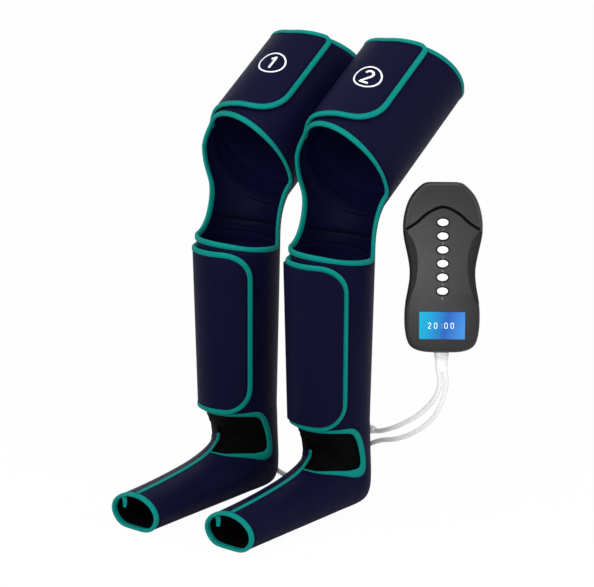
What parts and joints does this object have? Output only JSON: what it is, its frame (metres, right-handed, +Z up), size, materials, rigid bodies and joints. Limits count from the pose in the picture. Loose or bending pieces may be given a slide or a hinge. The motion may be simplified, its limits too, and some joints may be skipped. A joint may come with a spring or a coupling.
{
  "type": "air compression leg massager",
  "caption": "Pair of open-knee leg sleeves with open toes, wrap-over calf and thigh flaps and inner air cells, fed by hoses from a hand controller with oval buttons and a screen.",
  "frame": {"origin": "middle of the set's bounding box without the two hoses, on the floor under the soles", "axes": "+Z up the standing sleeves, -Y the way the toes point, +X towards the wearer's left"},
  "size_m": [0.4372, 0.5432, 0.6993],
  "materials": {
    "navy_fabric": "padded woven nylon, matt with a soft sheen",
    "teal_binding": "folded woven edge tape",
    "stretch_fabric": "ribbed stretch knit, matt",
    "bladder_film": "smooth film",
    "hook_tape": "hook tape, matt",
    "case_plastic": "moulded, satin",
    "grip_rubber": "soft touch",
    "button_plastic": "satin",
    "screen": "printed window, glossy",
    "board": "solder mask",
    "pump_metal": "satin",
    "valve_plastic": "moulded, matt",
    "hose_vinyl": "translucent, smooth"
  },
  "bodies": {
    "base": {"right_foot_wrap": "navy_fabric", "right_ankle_wrap": "navy_fabric", "right_toe_binding": "teal_binding", "right_foot_seam_binding": "teal_binding", "right_ankle_binding": "teal_binding", "right_ankle_gusset": "stretch_fabric", "right_foot_air_cells": "bladder_film", "right_calf_wrap": "navy_fabric", "right_calf_air_cells": "bladder_film", "right_knee_panel": "navy_fabric", "right_knee_opening_binding": "teal_binding", "right_hose_port": "valve_plastic", "left_foot_wrap": "navy_fabric", "left_ankle_wrap": "navy_fabric", "left_toe_binding": "teal_binding", "left_foot_seam_binding": "teal_binding", "left_ankle_binding": "teal_binding", "left_ankle_gusset": "stretch_fabric", "left_foot_air_cells": "bladder_film", "left_calf_wrap": "navy_fabric", "left_calf_air_cells": "bladder_film", "left_knee_panel": "navy_fabric", "left_knee_opening_binding": "teal_binding", "left_hose_port": "valve_plastic", "front_case": "case_plastic", "back_case": "case_plastic", "grip_right": "grip_rubber", "grip_left": "grip_rubber", "screen_lens": "screen", "lcd_module": "valve_plastic", "circuit_board": "board", "air_pump": "pump_metal", "valve_block": "valve_plastic", "hose_gland": "grip_rubber", "hose_left": "hose_vinyl", "hose_right": "hose_vinyl"},
    "right_thigh": {"right_thigh_wrap": "navy_fabric", "right_thigh_rim_binding": "teal_binding", "right_thigh_air_cells": "bladder_film"},
    "right_thigh_opening": {"right_thigh_flap": "navy_fabric", "right_thigh_flap_binding": "teal_binding", "right_thigh_hook_strip": "hook_tape"},
    "right_calf_opening": {"right_calf_flap": "navy_fabric", "right_calf_flap_binding": "teal_binding", "right_calf_hook_strip": "hook_tape"},
    "left_thigh": {"left_thigh_wrap": "navy_fabric", "left_thigh_rim_binding": "teal_binding", "left_thigh_air_cells": "bladder_film"},
    "left_thigh_opening": {"left_thigh_flap": "navy_fabric", "left_thigh_flap_binding": "teal_binding", "left_thigh_hook_strip": "hook_tape"},
    "left_calf_opening": {"left_calf_flap": "navy_fabric", "left_calf_flap_binding": "teal_binding", "left_calf_hook_strip": "hook_tape"},
    "button_1": {"button_1": "button_plastic"},
    "button_2": {"button_2": "button_plastic"},
    "button_3": {"button_3": "button_plastic"},
    "button_4": {"button_4": "button_plastic"},
    "button_5": {"button_5": "button_plastic"},
    "button_6": {"button_6": "button_plastic"}
  },
  "joints": [
    {"name": "right_knee", "type": "hinge", "parent": "base", "child": "right_thigh", "pos_m": [-0.14279, 0.04546, 0.444], "axis": [1, 0, 0], "range_deg": [-35, 50], "deforming": ["right_knee_panel", "right_knee_opening_binding"]},
    {"name": "right_thigh_flap_hinge", "type": "hinge", "parent": "right_thigh", "child": "right_thigh_opening", "pos_m": [-0.20861, 0.06867, 0.61826], "axis": [0, -0.8192, -0.5736], "range_deg": [0, 75]},
    {"name": "right_calf_flap_hinge", "type": "hinge", "parent": "base", "child": "right_calf_opening", "pos_m": [-0.19474, -0.06203, 0.265], "axis": [0.0202, 0.0117, -0.9997], "range_deg": [0, 75]},
    {"name": "left_knee", "type": "hinge", "parent": "base", "child": "left_thigh", "pos_m": [0.01721, 0.07146, 0.444], "axis": [1, 0, 0], "range_deg": [-35, 50], "deforming": ["left_knee_panel", "left_knee_opening_binding"]},
    {"name": "left_thigh_flap_hinge", "type": "hinge", "parent": "left_thigh", "child": "left_thigh_opening", "pos_m": [-0.04861, 0.09467, 0.61826], "axis": [0, -0.8192, -0.5736], "range_deg": [0, 75]},
    {"name": "left_calf_flap_hinge", "type": "hinge", "parent": "base", "child": "left_calf_opening", "pos_m": [-0.03474, -0.03603, 0.265], "axis": [0.0202, 0.0117, -0.9997], "range_deg": [0, 75]},
    {"name": "button_1_press", "type": "slide", "parent": "base", "child": "button_1", "axis": [-0.5839, 0.7749, -0.2419], "range_m": [0, 0.001], "stiffness_N_per_m": 400, "springref_m": -0.0005},
    {"name": "button_2_press", "type": "slide", "parent": "base", "child": "button_2", "axis": [-0.5839, 0.7749, -0.2419], "range_m": [0, 0.001], "stiffness_N_per_m": 400, "springref_m": -0.0005},
    {"name": "button_3_press", "type": "slide", "parent": "base", "child": "button_3", "axis": [-0.5839, 0.7749, -0.2419], "range_m": [0, 0.001], "stiffness_N_per_m": 400, "springref_m": -0.0005},
    {"name": "button_4_press", "type": "slide", "parent": "base", "child": "button_4", "axis": [-0.5839, 0.7749, -0.2419], "range_m": [0, 0.001], "stiffness_N_per_m": 400, "springref_m": -0.0005},
    {"name": "button_5_press", "type": "slide", "parent": "base", "child": "button_5", "axis": [-0.5839, 0.7749, -0.2419], "range_m": [0, 0.001], "stiffness_N_per_m": 400, "springref_m": -0.0005},
    {"name": "button_6_press", "type": "slide", "parent": "base", "child": "button_6", "axis": [-0.5839, 0.7749, -0.2419], "range_m": [0, 0.001], "stiffness_N_per_m": 400, "springref_m": -0.0005}
  ]
}
